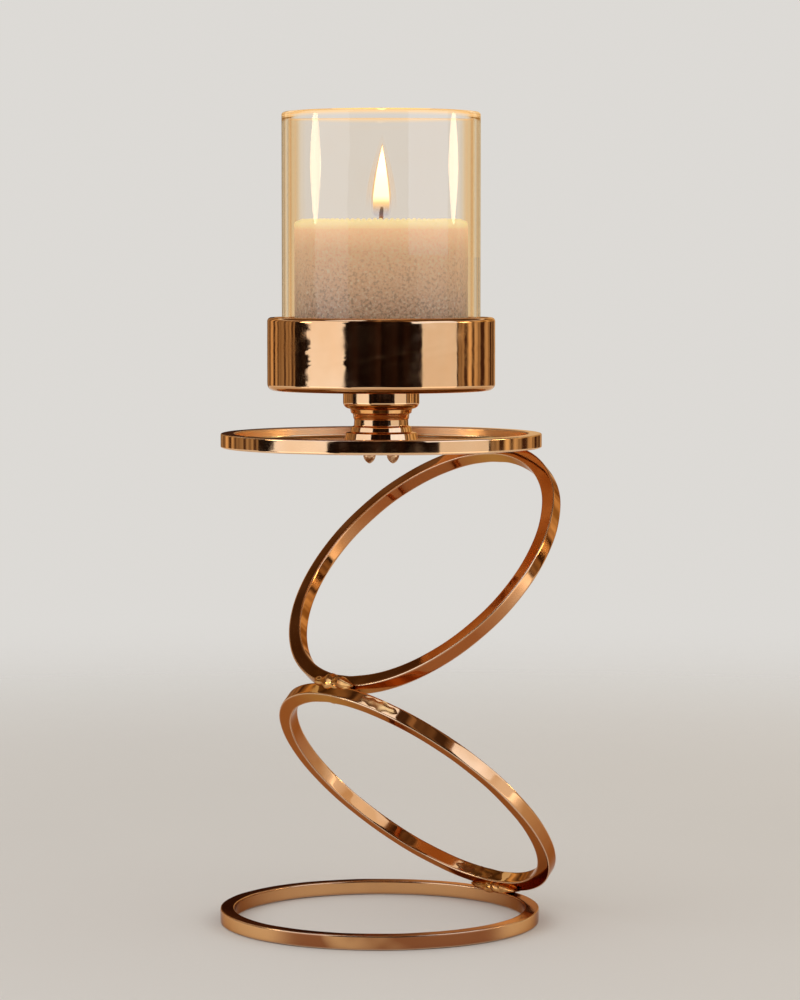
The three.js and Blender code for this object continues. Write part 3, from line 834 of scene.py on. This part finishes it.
def glass_finish():
    """Clear glass: faint hand smears set its roughness and its colour, amber bands of painted reflection
    show where it is seen at a flat angle, the wall absorbs blue, and the rims are golden with painted
    candlelight."""
    material, shader, place = new_finish("clear_glass", {
        "Transmission Weight": 1.0, "IOR": 1.47, "Emission Strength": 1.0})
    smear = spread(noise(place, 60, 4, 0.65), 0.5, 0.8)
    rim = marked(place, "rim")
    wall = blend_colour(smear, (1.0, 0.985, 0.96), (1.0, 0.97, 0.93))
    (smear * 0.03).into(shader, "Roughness")
    # Painted reflection: amber bands of warm light where the wall is seen at a flat angle.
    facing = place.node("ShaderNodeLayerWeight", {}, {"Blend": 0.5}, 1)
    bands = ramp(facing, [
        (0.50, (1.0, 0.84, 0.55)), (0.60, (1.0, 0.58, 0.22)), (0.68, (1.0, 0.84, 0.52)),
        (0.76, (0.86, 0.44, 0.13)), (0.84, (1.0, 0.80, 0.46)), (0.93, (0.90, 0.50, 0.17))])
    tube = blend_colour(spread(facing, 0.40, 0.54), wall, bands)
    blend_colour(rim, tube, (1.0, 0.76, 0.40)).into(shader, "Base Color")
    blend_colour(rim, (0, 0, 0), (0.26, 0.14, 0.04)).into(shader, "Emission Color")
    absorb = place.node("ShaderNodeVolumeAbsorption", {}, {"Color": (1.0, 0.66, 0.28), "Density": 30.0})
    absorb.into(material.node_tree.nodes["Material Output"], "Volume")
    return material


glass_low, glass_high = levels("glass_chimney")
glass_radius = half_width("glass_chimney") - INSET
glass_corners = [(glass_radius - GLASS_WALL, glass_low), (glass_radius, glass_low),
                 (glass_radius, glass_high), (glass_radius - GLASS_WALL, glass_high)]
glass_path = fine_loop(rounded(glass_corners, [GLASS_WALL / 2 - 0.02] * 4, 12), 0.5)
to_rim = np.minimum(glass_path[:, 1] - glass_low, glass_high - glass_path[:, 1])
inside = glass_path[:, 0] < glass_radius - GLASS_WALL / 2
glass_path[:, 0] -= GLASS_BEAD * inside * bell(to_rim - GLASS_BEAD_AT, GLASS_BEAD_REACH)
glass_grid = turned(glass_path, GLASS_STEPS)
rim_mark = np.clip(1 - to_rim / RIM_REACH, 0, 1)[:, None] + 0 * glass_grid[..., 0]
glass = skin("glass_tube", glass_grid, marks={"rim": rim_mark})
dress(glass, "glass", ["glass_chimney"], glass_finish())

# %% [markdown]
# ## The candle
# Granular wax is a heap of small grains pressed together, and the coarsest stand along the top edge like
# pearls. A bump texture alone leaves a smooth outline, which gives it away at the rim. Here the grains are
# real: seeds lie on a jittered lattice over the wall and the top, each point of the surface takes the
# height of the tallest dome that reaches it, and a half-round rim on the shoulder sinks between pearls.

# %% Candle profile
CANDLE_PEARLS = 90
CANDLE_STEPS = 6 * CANDLE_PEARLS
PEARL_RADIUS = 1.2
PEARL_DEPTH = 0.85
SHOULDER = 1.9
GRAIN_SIZE = 1.25
GRAIN_HEIGHT = 0.45
MELT_POOL = 9.0
WICK_BORE = 1.3
STEM_BORE = 2.7
STEM_TOP = 6.3
FOOT_BORE = 9.3
FOOT_RECESS = 0.8
FOOT_PLAIN = 1.2
TOP_DEPTH = 3.0


def candle_profile(low, top, radius):
    """Underside, foot, wall, shoulder, half-round rim, top that dips towards the wick, wick hole and
    recess."""
    middle, level = radius - SHOULDER - PEARL_RADIUS, top - PEARL_RADIUS
    edge = arc((middle, level), PEARL_RADIUS, 38, 168, 14)
    corners = [(FOOT_BORE, low), (radius, low), (radius, level + 0.1), edge[0]]
    wall = fine(rounded(corners, [0, 1.0, 1.3, 0], 6), 0.56)[:-1]
    r = np.linspace(edge[-1, 0], WICK_BORE, 22)[1:]
    dip = 0.5 * np.cos(np.clip(r / (1.4 * MELT_POOL), 0, 1) * np.pi / 2) ** 2
    hole = [(WICK_BORE, low + STEM_TOP), (STEM_BORE, low + STEM_TOP), (STEM_BORE, low + FOOT_RECESS),
            (FOOT_BORE, low + FOOT_RECESS)]
    return np.concatenate([wall, edge, np.stack([r, edge[-1, 1] - dip], 1), hole]), len(hole)


candle_low, candle_high = levels("candle")
candle_radius = half_width("candle") - 2 * INSET
candle_top = candle_high - 2 * INSET
candle_path, hole_rows = candle_profile(candle_low, candle_top, candle_radius)
print("candle rows:", len(candle_path), "columns:", CANDLE_STEPS)

# %% Candle grains
LATTICE = (1024, 256)
LATTICE_MIDDLE = 40


def grains(x, y, wrap, seed):
    """Height of the tallest dome, sqrt(1 - (d/g)^2) at distance d from a seed, for a grain of radius g.

    Seeds sit one to a lattice cell, off its middle by chance, and the nine cells around a point count.
    wrap is the number of cells after which the lattice repeats along x."""
    cell_x, cell_y = np.floor(x).astype(int), np.floor(y).astype(int)
    jitter = np.random.default_rng(seed).uniform(0.12, 0.88, (3, *LATTICE))
    around = np.array([(i, j) for i in (-1, 0, 1) for j in (-1, 0, 1)])
    near_x, near_y = cell_x[..., None] + around[:, 0], cell_y[..., None] + around[:, 1]
    kept = near_x % wrap, near_y % LATTICE[1]
    away = np.hypot(near_x + jitter[0][kept] - x[..., None], near_y + jitter[1][kept] - y[..., None])
    reach = 0.62 + 0.28 * jitter[2][kept]
    return np.sqrt(np.clip(1 - (away / reach) ** 2, 0, 1)).max(-1)


r, z = candle_path.T
along = np.concatenate([[0], np.cumsum(np.hypot(np.diff(r), np.diff(z)))])
candle_turn = full_turn(CANDLE_STEPS)
cells_round = int(2 * np.pi * candle_radius / GRAIN_SIZE)
grain_x = candle_turn / (2 * np.pi) * cells_round + 0 * r[:, None]
wall_grains = grains(grain_x, along[:, None] / GRAIN_SIZE + 0 * candle_turn, cells_round, 81)
heading = np.stack([np.cos(candle_turn), np.sin(candle_turn)])
flat_x, flat_y = r[:, None] * heading[:, None] / GRAIN_SIZE + LATTICE_MIDDLE
top_grains = grains(flat_x, flat_y, LATTICE[0], 82)
on_rim = (r > candle_radius - SHOULDER - 2 * PEARL_RADIUS) & (z > candle_top - PEARL_RADIUS)
on_top = ~on_rim & (r < candle_radius - SHOULDER) & (z > candle_top - TOP_DEPTH)
height = np.where(on_top[:, None], top_grains, wall_grains)
plain = on_rim | (z < candle_low + FOOT_PLAIN) | (on_top & (r < MELT_POOL))
plain[-hole_rows - 1:] = True
height[plain] = 1
print("grains round:", cells_round)

# %% Candle surface
# A point sinks along its normal by the grain height times what its dome lacks, and on the rim by what its
# pearl lacks of a parabola.
rise = np.clip((z - candle_low) / (candle_top - candle_low), 0, 1)[:, None]
pearl_place = np.linspace(-1, 1, 6, endpoint=False)
pearl_size = np.random.default_rng(83).uniform(0.8, 1.0, CANDLE_PEARLS)
pearls = np.outer(pearl_size, 1 - pearl_place**2).reshape(-1)
round_rim = np.sqrt(np.clip((z - candle_top + PEARL_RADIUS) / PEARL_RADIUS, 0, 1)) * on_rim
sunk = GRAIN_HEIGHT * (1 - 0.6 * rise) * (1 - height)
sunk = sunk + PEARL_RADIUS * PEARL_DEPTH * round_rim[:, None] * (1 - pearls)
slope_r, slope_z = (np.gradient(part, along)[:, None] for part in (r, z))
grain_r = r[:, None] - slope_z * sunk
grain_z = z[:, None] + slope_r * sunk
candle_grid = about(HEAD_AXIS, grain_r, grain_z, candle_turn)
print("pearls round:", CANDLE_PEARLS)

# %% [markdown]
# ## Wax that glows
# Wax lets light in, so the flame makes the top of a candle shine from within. That light is painted into
# the colour, which follows the height: brighter and warmer at the top, cooler and greyer towards the foot.
# Low down, fine noise makes bright crumbs beside dark ones, finer noise adds white sparks as painted glints,
# and the gaps between grains get painted shade. A warm emission that fades from the top stands for the
# light that has come through.

# %% Wax finish


def wax_finish(low, high):
    """Ivory wax: painted flame light by height, pale and dark crumbs, painted glints and gap shade, a warm
    glow.
    """
    material, shader, place = new_finish("granular_wax", {
        "Roughness": 0.5, "Subsurface Weight": 0.2, "Subsurface Radius": (1.0, 0.55, 0.3),
        "Subsurface Scale": 0.002, "Emission Strength": 1.0})
    up = spread(coordinate(place, 2), low * MM, high * MM)
    coarse = spread(up, 0.1, 0.95, 1.0, 0.1)
    # Painted light: the colour by height is brighter and warmer under the flame, greyer low down.
    wax_colour_and_painted_light = ramp(up, [(0.0, (0.65, 0.48, 0.34)), (0.45, (0.83, 0.60, 0.42)),
                     (0.93, (0.97, 0.73, 0.51)), (0.965, (0.98, 0.88, 0.64))])
    crumbs = noise(place, 820, 1.5, 0.6)
    # Painted glints: fine white specks.
    painted_glints = spread(noise(place, 1150, 1.0), 0.60, 0.68)
    bright = spread(crumbs, 0.55, 0.63) * 0.8 + painted_glints
    flecked = blend_colour(bright * coarse, wax_colour_and_painted_light, (1.0, 0.93, 0.81))
    # Painted shade: the gaps between grains are darker.
    painted_gap_shade = 1 - spread(marked(place, "grain"), 0.0, 0.7)
    dark = (spread(crumbs, 0.47, 0.37) * 0.55 + painted_gap_shade * 0.25) * (1 - painted_glints)
    shade = 1 - coarse * dark
    grey = shade.node("ShaderNodeCombineColor", {}, {0: shade, 1: shade, 2: shade})
    mixed = shade.node("ShaderNodeMix", {"data_type": "RGBA", "blend_type": "MULTIPLY"},
                       {0: 1.0, 6: flecked, 7: grey}, 2)
    mixed.into(shader, "Base Color")
    glow = ramp(up, [(0.15, (0, 0, 0)), (0.5, (0.05, 0.02, 0.01)), (0.8, (0.20, 0.11, 0.05)),
                     (0.93, (0.42, 0.24, 0.12)), (0.965, (0.52, 0.42, 0.18))])
    glow.into(shader, "Emission Color")
    bump(noise(place, 2200, 2), 0.3, 0.00015).into(shader, "Normal")
    return material


candle = skin("granular_candle", candle_grid, marks={"grain": height})
dress(candle, "candle", ["candle"], wax_finish(candle_low, candle_high))

# %% [markdown]
# ## The wick
# A wick is braided cotton, charred where it stands out of the wax. A plain rod shows at once beside a
# flame. Here three strands wind round each other: the radius swells three times in a turn, and the swell
# twists as it climbs. The burnt end leans over a little, and the flame lights the wick above the wax.

# %% Wick
WICK_RADIUS = 0.80
WICK_TWIST = 1.9
WICK_LEAN = 0.35


def wick_surface(low, high):
    """Mean radius + 0.13 cos(3(t - w z)) for the strands and a finer ripple for their threads. The tip
    thins, and the last tenth drifts aside as the cube of its height."""
    z = np.linspace(low, high, 260)[:, None]
    t = full_turn(36)
    share = (z - low) / (high - low)
    strands = WICK_RADIUS + 0.13 * np.cos(3 * (t - WICK_TWIST * z)) + 0.03 * np.cos(7 * t + 5 * z)
    radius = strands * (1 - 0.5 * np.clip((share - 0.96) / 0.04, 0, 1) ** 2)
    radius[[0, -1]] = 0
    aside = WICK_LEAN * np.clip((share - 0.9) / 0.1, 0, 1) ** 3
    return about((HEAD_AXIS[0] + aside, HEAD_AXIS[1]), radius, z, t)


def wick_finish(high):
    """Cream cotton low down, char above the wax, and an orange light that fades towards the tip."""
    material, shader, place = new_finish("charred_cotton", {"Roughness": 0.9, "Emission Strength": 1.0})
    height = coordinate(place, 2)
    burnt = spread(height + noise(place, 900, 2) * 0.0015, (high - 6.5) * MM, (high - 4.0) * MM)
    lit = spread(height, (high - 2.2) * MM, (high - 4.6) * MM)
    blend_colour(burnt, (0.70, 0.58, 0.42), (0.022, 0.014, 0.010)).into(shader, "Base Color")
    blend_colour(lit, (0.02, 0.008, 0.002), (0.30, 0.11, 0.03)).into(shader, "Emission Color")
    return material


wick_low, wick_high = levels("wick")
wick = skin("braided_wick", wick_surface(wick_low, wick_high), (False, True))
dress(wick, "candle", ["wick"], wick_finish(wick_high))

# %% [markdown]
# ## The flame
# A flame is hot gas, so it has no solid. It could be a volume, but thin shells of light render faster
# and can be carried to other programs. A bright core sits in an orange veil and a faint halo, each a drop
# turned about the wick: the radius rises fast from the root and falls almost straight to the tip.

# %% Flame
FLAME_ROOT = candle_high + 0.585
FLAME_TIP = FLAME_ROOT + 29.8
FLAME_WIDEST = 0.598
FLAME_LEAN = 0.5


def flame_shell(width, root, tip):
    """Radius proportional to s^0.19 (1 - s)^0.95, which is widest a sixth of the way up, and a lean
    that grows as the square of s."""
    s = np.linspace(0, 1, 90)[:, None]
    radius = width / FLAME_WIDEST * s**0.19 * (1 - s) ** 0.95
    axis = (HEAD_AXIS[0] + FLAME_LEAN * s**2, HEAD_AXIS[1])
    return about(axis, radius, root + (tip - root) * s, full_turn(SMALL_STEPS))


def flame_finish(name, strength, light, cover):
    """Light by height, from the blue root past the orange wick to the white body, and alpha by height."""
    material, shader, place = unlit(name, strength)
    up = spread(coordinate(place, 2), FLAME_ROOT * MM, FLAME_TIP * MM)
    ramp(up, light).into(shader, "Emission Color")
    ramp(up, [(at, (alpha, alpha, alpha)) for at, alpha in cover]).into(shader, "Alpha")
    return material


FLAME_SHELLS = {
    "flame_core": (3.3, 0.3, -1.0, 3.0, [
        (0.0, (0.09, 0.11, 0.20)), (0.11, (0.26, 0.14, 0.05)), (0.19, (0.50, 0.30, 0.11)),
        (0.29, (1.0, 0.78, 0.46)), (0.8, (1.0, 0.88, 0.62)), (1.0, (1.0, 0.62, 0.22))],
        [(0.0, 0.08), (0.10, 0.14), (0.18, 0.5), (0.28, 0.95), (1.0, 0.9)]),
    "flame_veil": (4.1, 0.0, 0.0, 1.1, [
        (0.0, (0.35, 0.42, 0.75)), (0.15, (0.70, 0.45, 0.30)), (0.35, (1.0, 0.55, 0.16)),
        (1.0, (1.0, 0.45, 0.10))],
        [(0.0, 0.05), (0.14, 0.09), (0.3, 0.34), (1.0, 0.2)]),
    "flame_halo": (6.2, -0.2, 3.5, 1.0, [(0.0, (1.0, 0.55, 0.18)), (1.0, (1.0, 0.60, 0.22))],
                   [(0.1, 0.0), (0.5, 0.12), (1.0, 0.03)]),
}
for name, (width, root, tip, strength, light, cover) in FLAME_SHELLS.items():
    shell = skin(name, flame_shell(width, FLAME_ROOT + root, FLAME_TIP + tip), (False, True))
    dress(shell, "candle", [], flame_finish(name, strength, light, cover))

# %% [markdown]
# ## Studio
# Polished metal shows its surroundings, so the studio is part of the look. The floor and the background
# are pale, and a soft box stands on either side of the camera. The rest is cloth that only reflections
# see: black behind the camera for the cup's dark middle, a pleated brown curtain at the sides and behind
# for its stripes, gold for the warm sides of the rings, and a brown canopy with white silk for the faces
# that lean back. Two black flags tear the edges of the left light.

# %% Floor and background
PALE = (0.72, 0.70, 0.67)
FLOOR_RADIUS = 1400.0
FLOOR_LEVEL = -0.02
FLOOR_FADE = (0.25, 1.3)


def pale_floor():
    """Flat disc round the holder, in rings that widen with distance."""
    r = np.concatenate([[0.0], np.geomspace(60, FLOOR_RADIUS, 30)])[:, None]
    return about(ORIGIN, r, FLOOR_LEVEL, full_turn(2 * SMALL_STEPS))


def floor_finish():
    """Matt pale board with a faint mottle, which fades out within a good metre of the holder."""
    material, shader, place = new_finish("pale_board", {"Roughness": 0.7, "Specular IOR Level": 0.25})
    tone = blend_colour(noise(place, 6), (0.76, 0.73, 0.69), (0.78, 0.75, 0.71))
    tone.into(shader, "Base Color")
    away = place.node("ShaderNodeVectorMath", {"operation": "LENGTH"}, {0: place}, 1)
    near = place.node("ShaderNodeMapRange", {"interpolation_type": "SMOOTHERSTEP"}, {
        "Value": away, "From Min": FLOOR_FADE[0], "From Max": FLOOR_FADE[1], "To Min": 1.0, "To Max": 0.0})
    near.into(shader, "Alpha")
    return material


floor = skin("floor", pale_floor(), (False, True))
floor.data.materials.append(floor_finish())

world = bpy.data.worlds.new("studio")
bpy.context.scene.world = world
world.use_nodes = True
fill(world.node_tree.nodes["Background"].inputs["Color"], PALE)

# %% Soft boxes
BOX_DISTANCE = 1.3
BOX_LEVEL = 0.45


def soft_box(name, bearing, size, power, colour):
    """Upright light aimed at the holder, at a bearing from the camera's side, right positive."""
    light = bpy.data.lights.new(name, "AREA")
    light.shape = "RECTANGLE"
    light.size, light.size_y = size
    light.energy = power
    light.color = colour
    made = bpy.data.objects.new(name, light)
    a = np.radians(bearing)
    made.location = (BOX_DISTANCE * np.sin(a), -BOX_DISTANCE * np.cos(a), BOX_LEVEL)
    made.rotation_euler = (np.radians(90), 0, a)
    made.visible_camera = False
    made.visible_transmission = False
    bpy.context.scene.collection.objects.link(made)


soft_box("soft_box_left", -61, (1.35, 1.5), 6.4, (0.98, 1.04, 1.16))
soft_box("soft_box_right", 61, (0.95, 1.5), 3.4, (1.0, 0.97, 0.93))
print("soft boxes at a distance of", BOX_DISTANCE, "m")

# %% Cloth that only reflections see
CLOTH_DISTANCE = 1900.0
CLOTH_LEVEL = 150.0
FLAG_DISTANCE = 1200.0
FLAG_HEIGHT = 450.0


def cloth_finish(name, dark, light, pleats):
    """Unlit cloth: its tone runs from dark to light in soft upright pleats, so many to a radian."""
    material, shader, place = unlit(name, 1.0)
    turn = place.math("ARCTAN2", coordinate(place, 0), coordinate(place, 1))
    fold = place.node("ShaderNodeTexNoise", {"noise_dimensions": "1D"},
                      {"W": turn, "Scale": pleats, "Detail": 1.5})
    blend_colour(spread(fold, 0.42, 0.68), dark, light).into(shader, "Emission Color")
    return material


def only_reflected(name, grid, finish):
    """Stage piece with an open edge that is seen in reflections and nowhere else."""
    made = skin(name, grid, (False, False))
    made.data.materials.append(finish)
    for sight in ("camera", "diffuse", "transmission", "shadow", "volume_scatter"):
        setattr(made, "visible_" + sight, False)


def turn_of(bearing):
    """Turn from +X of a bearing in degrees, which counts from the camera's side."""
    return np.radians(bearing - 90)


def cloth(name, bearings, rises, finish, distance=CLOTH_DISTANCE):
    """Piece of a sphere round the holder, between two bearings and two rises in degrees."""
    e = np.radians(np.linspace(*rises, 20))[:, None]
    height = CLOTH_LEVEL + distance * np.sin(e)
    grid = about(ORIGIN, distance * np.cos(e), height, turn_of(np.linspace(*bearings, 40)))
    only_reflected(name, grid, finish)


def flag(name, edge, far, sway, finish):
    """Upright strip from one bearing to another, whose first edge sways with height as a sum of sines,
    so that a reflected light ends in a torn edge and not in a ruled line."""
    z = np.linspace(0, FLAG_HEIGHT, 500)[:, None]
    share = np.linspace(0, 1, 8)
    torn = sway * (np.sin(z / 26) + 0.6 * np.sin(z / 11 + 1) + 0.4 * np.sin(z / 4.3 + 2)) / 2
    bearing = edge + (far - edge) * share + torn * (1 - share)
    only_reflected(name, about(ORIGIN, FLAG_DISTANCE, z, turn_of(bearing)), finish)


# %% Cloth and flags in their places
black_cloth = cloth_finish("black_cloth", (0.006, 0.003, 0.002), (0.022, 0.010, 0.006), 4.0)
brown_cloth = cloth_finish("brown_cloth", (0.05, 0.02, 0.01), (0.80, 0.55, 0.28), 5.5)
canopy_cloth = cloth_finish("canopy_cloth", (0.05, 0.025, 0.012), (0.27, 0.16, 0.08), 3.0)
gold_cloth = cloth_finish("gold_cloth", (0.30, 0.17, 0.05), (0.90, 0.66, 0.33), 6.0)
white_silk = cloth_finish("white_silk", (1.02, 1.20, 1.55), (1.10, 1.28, 1.65), 6.0)
cloth("cloth_behind_lights", (-88, 83), (-4.2, 30), black_cloth)
cloth("curtain_left", (-180, -88), (-4.2, 26), brown_cloth)
cloth("curtain_right", (83, 180), (-4.2, 26), brown_cloth)
cloth("canopy", (-180, 180), (30, 84), canopy_cloth)
cloth("gold_right", (113, 172), (4, 22), gold_cloth, 1800.0)
cloth("silk_right", (31, 82), (6.5, 33), white_silk, 1100.0)
cloth("silk_high_left", (-80, -25), (52, 68), white_silk, 1750.0)
flag("flag_right_of_light", -37, -29, 2.2, black_cloth)
flag("flag_left_of_light", -79, -95, 6.0, black_cloth)

# %% Two small lamps for the glints in the glass
GLINT_LEVEL = 338.0
GLINT_DISTANCE = 1130.0


def glint(name, bearing, width, height, finish):
    """Lens-shaped lamp that only reflections see: half width w, half height h(1 - (x/w)^2)."""
    x = np.linspace(-1, 1, 40)
    y = np.linspace(-1, 1, 12)[:, None] * (1 - x**2)
    turn = turn_of(bearing + width / 2 * x)
    only_reflected(name, about(ORIGIN, GLINT_DISTANCE, GLINT_LEVEL + height / 2 * y, turn), finish)


lamp_cloth = cloth_finish("lamp_cloth", (9.5, 7.2, 4.0), (12.0, 9.6, 6.0), 20.0)
glint("glint_left", -80, 17, 84, lamp_cloth)
glint("glint_right", 91, 17, 84, lamp_cloth)

# %% [markdown]
# ## Camera
# The camera was found by fitting the outlines of all four rings: it stands low, level with the candle, and
# looks down by less than four degrees with a long lens.

# %% Camera
CAMERA_STEP = (8.24, -1414.6)
CAMERA_HEIGHT = 264.1
CAMERA_PITCH = 3.75
SENSOR_WIDTH = 36.0
LENS_RATIO = 3.5105

camera_data = bpy.data.cameras.new("camera")
camera_data.sensor_width = SENSOR_WIDTH
camera_data.lens = SENSOR_WIDTH * LENS_RATIO
camera = bpy.data.objects.new("camera", camera_data)
camera.location = [step * MM for step in (*(BASE_AXIS + CAMERA_STEP), CAMERA_HEIGHT)]
camera.rotation_euler = (np.radians(90 - CAMERA_PITCH), 0, 0)
bpy.context.scene.collection.objects.link(camera)
bpy.context.scene.camera = camera
bpy.context.scene.view_settings.view_transform = "Standard"
print("camera at", [round(step, 3) for step in camera.location], "with a lens of", round(camera_data.lens, 1))
